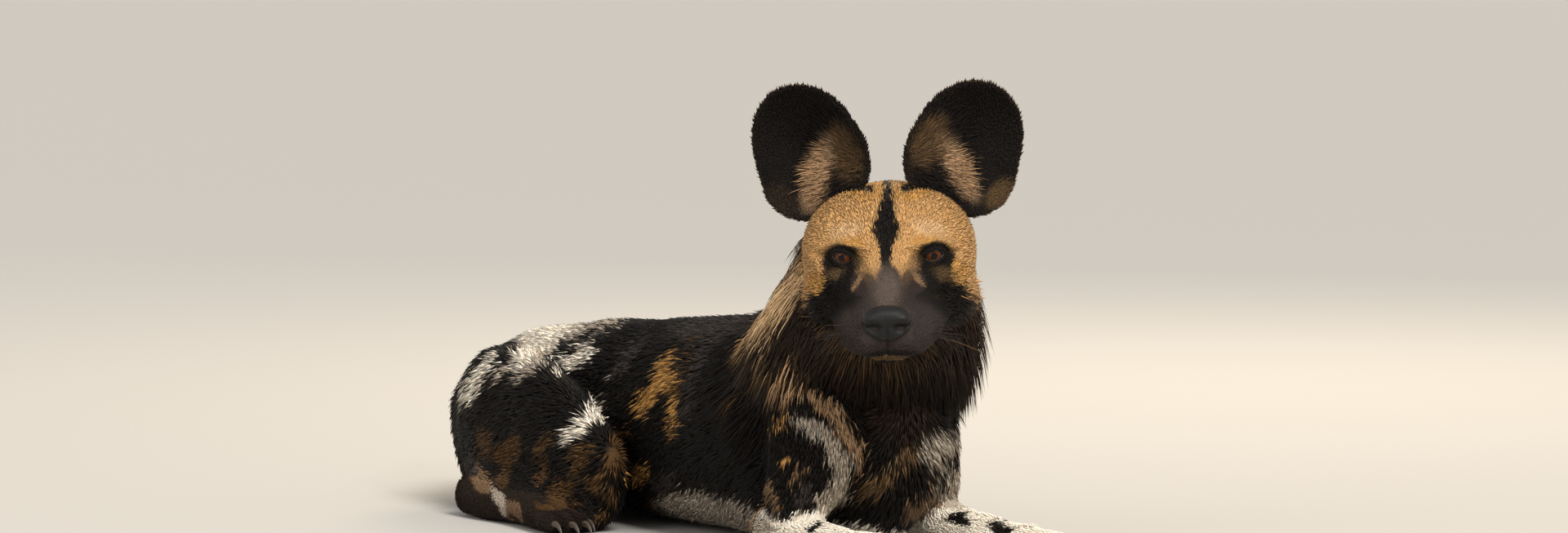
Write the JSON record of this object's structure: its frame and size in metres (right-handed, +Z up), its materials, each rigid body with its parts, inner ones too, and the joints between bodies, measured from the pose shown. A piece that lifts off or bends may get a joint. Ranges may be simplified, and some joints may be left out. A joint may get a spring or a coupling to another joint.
{
  "type": "african wild dog figure",
  "caption": "Life-size African wild dog lying on its chest, forelegs out in front, head up and turned to its right, round ears raised, tail curled beside the rump.",
  "frame": {"origin": "centre of the outline seen from above, on the floor that the dog lies on", "axes": "+X from the rump to the forepaws, +Y to the dog's left, +Z up"},
  "size_m": [0.9992, 0.422, 0.4551],
  "materials": {
    "coat": "short mottled fur in black, tan and white, longer on the neck and tail",
    "nose": "moist fine-grained black skin",
    "eye": "clear wet dome over a red-brown iris and a black pupil",
    "claw": "dull dark horn"
  },
  "bodies": {
    "root": {"head": "coat", "nose": "nose", "eye_right": "eye", "ear_right": "coat", "eye_left": "eye", "ear_left": "coat", "foreleg_upper_right": "coat", "forearm_right": "coat", "forepaw_right": "coat", "claw_fore_right_1": "claw", "claw_fore_right_2": "claw", "claw_fore_right_3": "claw", "claw_fore_right_4": "claw", "thigh_right": "coat", "shank_right": "coat", "hind_foot_right": "coat", "claw_hind_right_1": "claw", "claw_hind_right_2": "claw", "claw_hind_right_3": "claw", "claw_hind_right_4": "claw", "foreleg_upper_left": "coat", "forearm_left": "coat", "forepaw_left": "coat", "claw_fore_left_1": "claw", "claw_fore_left_2": "claw", "claw_fore_left_3": "claw", "claw_fore_left_4": "claw", "thigh_left": "coat", "shank_left": "coat", "hind_foot_left": "coat", "claw_hind_left_1": "claw", "claw_hind_left_2": "claw", "claw_hind_left_3": "claw", "claw_hind_left_4": "claw", "torso": "coat", "neck": "coat", "tail_base": "coat", "tail_brush": "coat"}
  },
  "joints": []
}
